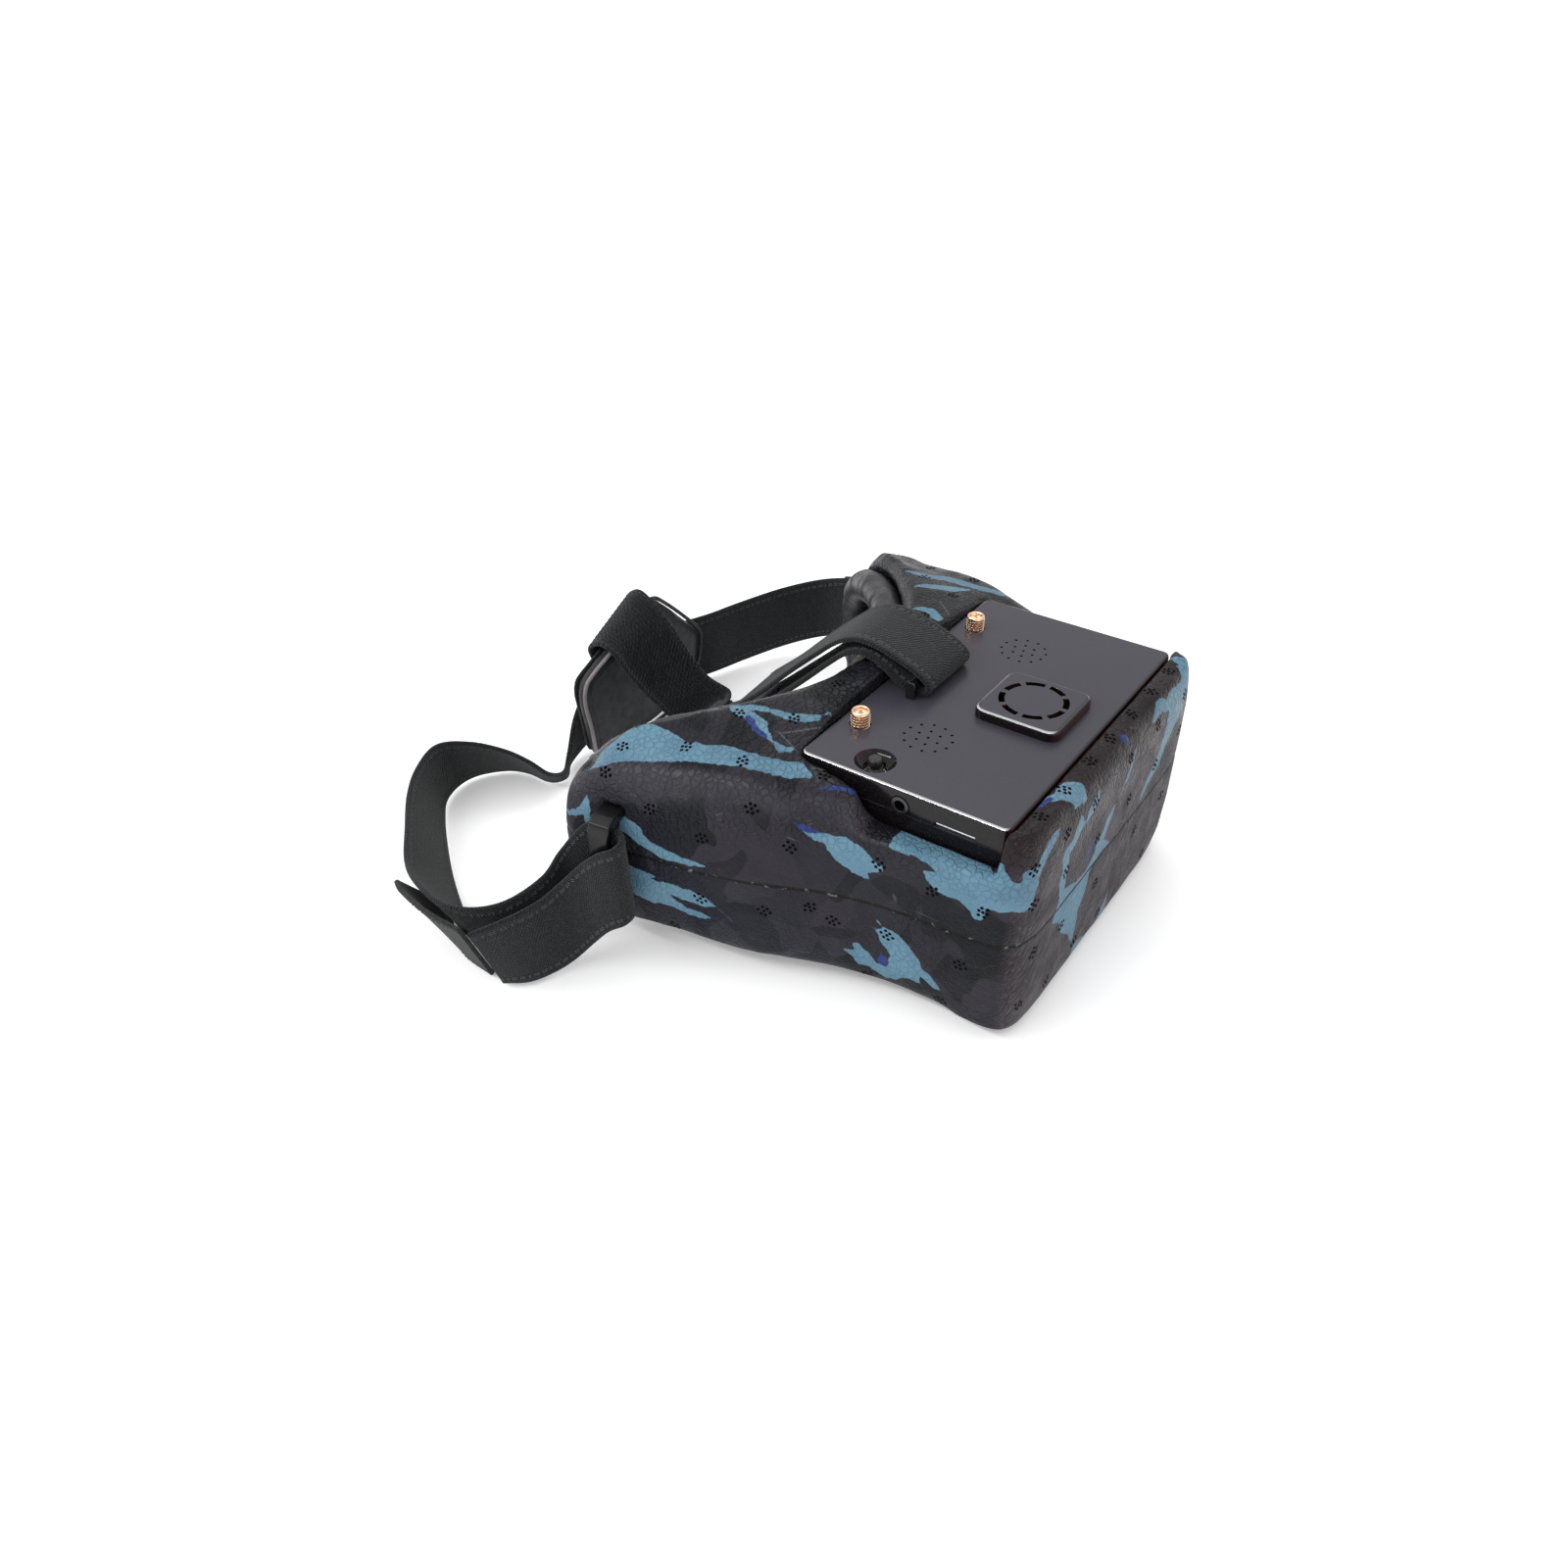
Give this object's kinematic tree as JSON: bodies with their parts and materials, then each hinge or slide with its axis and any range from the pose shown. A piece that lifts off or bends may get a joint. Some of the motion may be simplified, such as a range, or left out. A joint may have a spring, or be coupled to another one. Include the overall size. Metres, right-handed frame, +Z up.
{
  "type": "fpv goggles",
  "caption": "Box-type fpv goggles: foam headset with a drop-in screen module, mirror optics, face cushion, side and top straps and a rear pad.",
  "frame": {"origin": "on the surface the part rests on, directly under the centre of the module's top plate", "axes": "+Z up out of the module's top plate, +Y away from the wearer's face, +X towards the wearer's right side with the jack and the joystick"},
  "size_m": [0.2563, 0.2418, 0.0928],
  "materials": {
    "foam": "bead foam with printed film",
    "loop": "glossy moulded",
    "leather": "soft leatherette",
    "pad": "smooth leatherette",
    "webbing": "knitted webbing",
    "ribbed": "ribbed elastic",
    "case": "satin black",
    "mirror": "front silvered",
    "lens": "clear, ribbed",
    "frame": "satin",
    "screen": "dark glass",
    "window": "clear",
    "board": "solder resist",
    "steel": "plated",
    "gold": "polished gold plate",
    "can": "tinned shield",
    "battery": "shrink sleeve",
    "fan": "satin",
    "stick": "rubbery",
    "clip": "glossy"
  },
  "bodies": {
    "headset": {"foam_shell_upper": "foam", "foam_shell_lower": "foam", "strap_loop_right": "loop", "strap_loop_left": "loop", "face_cushion": "leather", "mirror_bracket": "frame", "mirror_glass": "mirror", "lens_frame": "frame", "fresnel_lens": "lens", "module_case": "case", "screen_window": "window", "lcd_panel": "screen", "main_board": "board", "board_screw_1": "steel", "board_screw_2": "steel", "board_screw_3": "steel", "board_screw_4": "steel", "module_cover": "case", "fan_frame": "fan", "sma_connector_right": "gold", "sma_connector_left": "gold", "sma_nut_right": "gold", "sma_nut_left": "gold", "speaker_right": "steel", "speaker_left": "steel", "receiver_module_right": "can", "receiver_module_left": "can", "battery_pack": "battery", "av_jack": "case", "card_socket": "can", "joystick_base": "can", "top_strap_clip": "clip", "top_strap": "webbing", "rear_band": "ribbed", "rear_pad": "pad", "rear_pad_backing": "pad", "side_strap_right": "webbing", "strap_hook_patch_right": "webbing", "side_strap_left": "webbing"},
    "fan_rotor": {"fan_rotor": "fan"},
    "stick_rocker": {"joystick_rocker": "steel"},
    "stick_gimbal": {"joystick_gimbal": "steel"},
    "stick_cap": {"joystick_cap": "stick"}
  },
  "joints": [
    {"name": "fan_spin", "type": "hinge", "parent": "headset", "child": "fan_rotor", "pos_m": [0, 0.0125, 0.0771], "axis": [0, 0, 1], "continuous": true},
    {"name": "stick_fore_aft", "type": "hinge", "parent": "headset", "child": "stick_rocker", "pos_m": [0.0527, -0.0135, 0.0727], "axis": [1, 0, 0], "range_deg": [-8, 8], "stiffness_Nm_per_rad": 0.02},
    {"name": "stick_side", "type": "hinge", "parent": "stick_rocker", "child": "stick_gimbal", "pos_m": [0.0527, -0.0135, 0.0727], "axis": [0, 1, 0], "range_deg": [-8, 8], "stiffness_Nm_per_rad": 0.02},
    {"name": "stick_press", "type": "slide", "parent": "stick_gimbal", "child": "stick_cap", "axis": [0, 0, -1], "range_m": [0, 0.0004], "stiffness_N_per_m": 1500}
  ]
}
